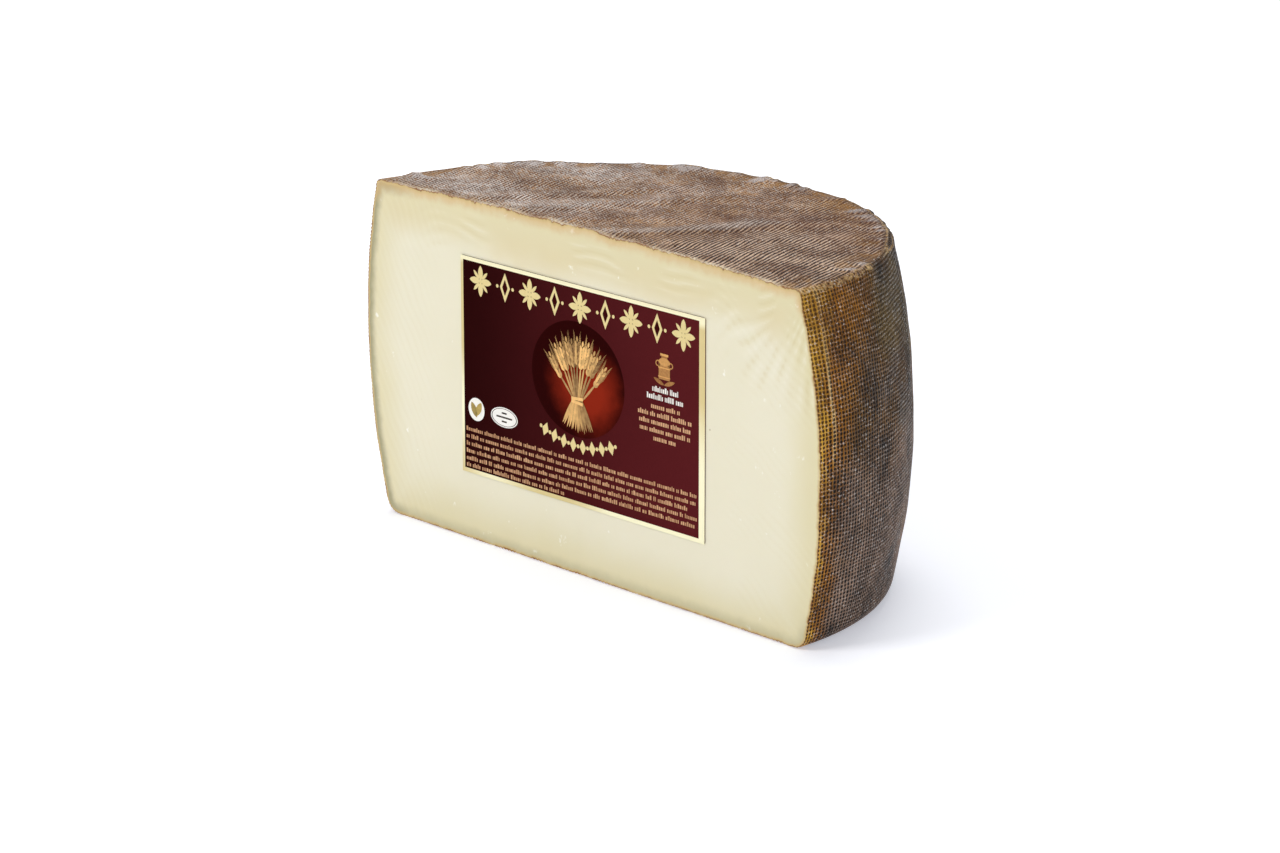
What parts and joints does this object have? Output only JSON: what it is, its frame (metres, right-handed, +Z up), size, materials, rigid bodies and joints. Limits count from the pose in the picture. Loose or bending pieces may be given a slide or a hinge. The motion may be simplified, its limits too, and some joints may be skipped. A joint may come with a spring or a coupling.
{
  "type": "half cheese wheel",
  "caption": "Half of a small semi-cured cheese wheel, cut straight down the middle, with a dark woven-pattern rind and a paper label on the pale cut face.",
  "frame": {"origin": "middle of the part's footprint on the surface it rests on, at Z = 0", "axes": "+Z up, towards the domed top; the flat cut face with its label looks along -Y; X runs along the cut from edge to edge"},
  "size_m": [0.1954, 0.0978, 0.1063],
  "materials": {
    "cheese": "satin",
    "label_paper": "satin"
  },
  "bodies": {
    "root": {"half_wheel": "cheese", "label": "label_paper"}
  },
  "joints": []
}
